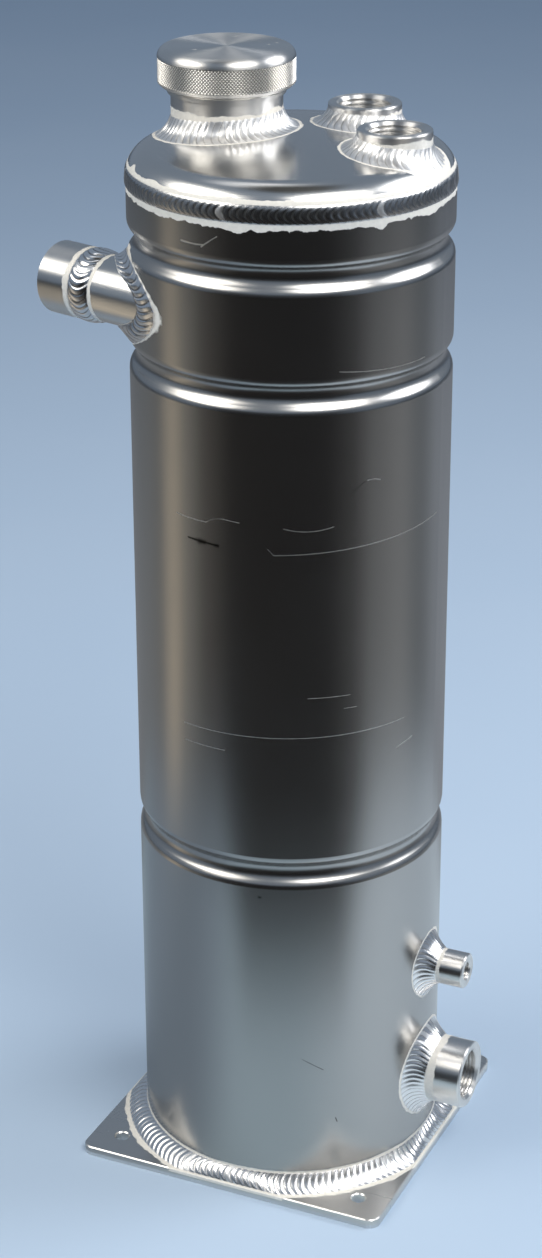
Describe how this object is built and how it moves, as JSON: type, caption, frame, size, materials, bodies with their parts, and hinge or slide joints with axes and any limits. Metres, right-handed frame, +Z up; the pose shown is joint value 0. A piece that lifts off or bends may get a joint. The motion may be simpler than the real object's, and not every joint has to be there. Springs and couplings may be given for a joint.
{
  "type": "dry sump oil tank",
  "caption": "Tall round aluminium oil tank with a welded dome and base plate, swirl inlet, threaded ports and a knurled screw filler cap.",
  "frame": {"origin": "on the tank's axis at the underside of the base plate", "axes": "+Z up along the tank's axis, +X along one side of the base plate, towards the outlet and sensor ports"},
  "size_m": [0.2125, 0.165, 0.5625],
  "materials": {
    "plate_aluminium": "mill finish sheet, lightly scuffed",
    "rolled_aluminium": "satin rolled sheet with faint lengthwise grain",
    "spun_aluminium": "smooth spun sheet, polished",
    "turned_aluminium": "bright turned bar",
    "tube_aluminium": "bright drawn tube",
    "weld_aluminium": "rippled weld metal with etched borders",
    "sheet_aluminium": "plain pressed sheet",
    "seal_rubber": "matt black nitrile rubber"
  },
  "bodies": {
    "tank": {"base_plate": "plate_aluminium", "base_weld": "weld_aluminium", "tank_shell": "rolled_aluminium", "top_dome": "spun_aluminium", "dome_weld": "weld_aluminium", "filler_neck": "turned_aluminium", "filler_neck_weld": "weld_aluminium", "front_breather_boss": "turned_aluminium", "front_breather_weld": "weld_aluminium", "rear_breather_boss": "turned_aluminium", "rear_breather_weld": "weld_aluminium", "inlet_boss": "turned_aluminium", "inlet_boss_weld": "weld_aluminium", "inlet_stub": "tube_aluminium", "inlet_stub_weld": "weld_aluminium", "outlet_boss": "turned_aluminium", "outlet_boss_weld": "weld_aluminium", "sensor_boss": "turned_aluminium", "sensor_boss_weld": "weld_aluminium", "upper_baffle": "sheet_aluminium", "swirl_baffle": "sheet_aluminium", "lower_baffle": "sheet_aluminium"},
    "seal": {"cap_seal": "seal_rubber"},
    "cap": {"filler_cap": "turned_aluminium"}
  },
  "joints": [
    {"name": "cap_lift", "type": "slide", "parent": "tank", "child": "seal", "axis": [0, 0, 1], "range_m": [0, 0.0161]},
    {"name": "cap_turn", "type": "hinge", "parent": "seal", "child": "cap", "pos_m": [-0.03495, 0.0056, 0.544], "axis": [0, 0, 1], "range_deg": [0, 1800]}
  ],
  "couplings": [
    {"joint": "cap_lift", "follows": "cap_turn", "m_per_rad": 0.0005093}
  ]
}
